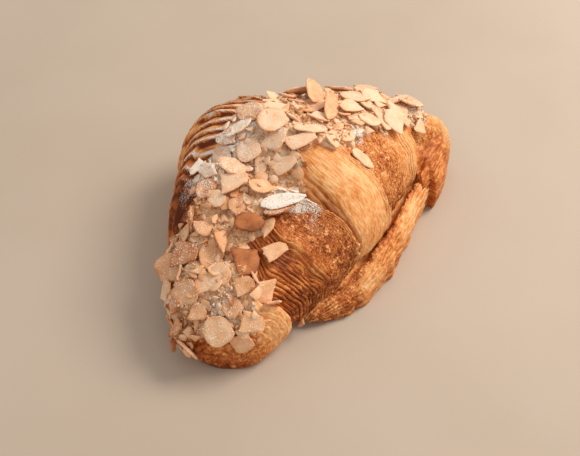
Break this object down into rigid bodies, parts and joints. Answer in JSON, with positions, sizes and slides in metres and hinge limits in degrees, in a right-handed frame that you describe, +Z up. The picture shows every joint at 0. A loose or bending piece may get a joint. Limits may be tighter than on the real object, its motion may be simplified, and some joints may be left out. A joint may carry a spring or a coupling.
{
  "type": "almond croissant",
  "caption": "Curved rolled pastry with overlapping laminated wraps, a lower lip and a rough topping of flaked almonds along its crest.",
  "frame": {"origin": "on the ground below the middle of the bounding box", "axes": "+X runs along the crescent from the near tip to the far tip, -Y is its hollow side and +Z is up"},
  "size_m": [0.1686, 0.1104, 0.0654],
  "materials": {
    "crust": "baked crust, golden brown, slightly glossy"
  },
  "bodies": {
    "root": {"croissant": "crust"}
  },
  "joints": []
}
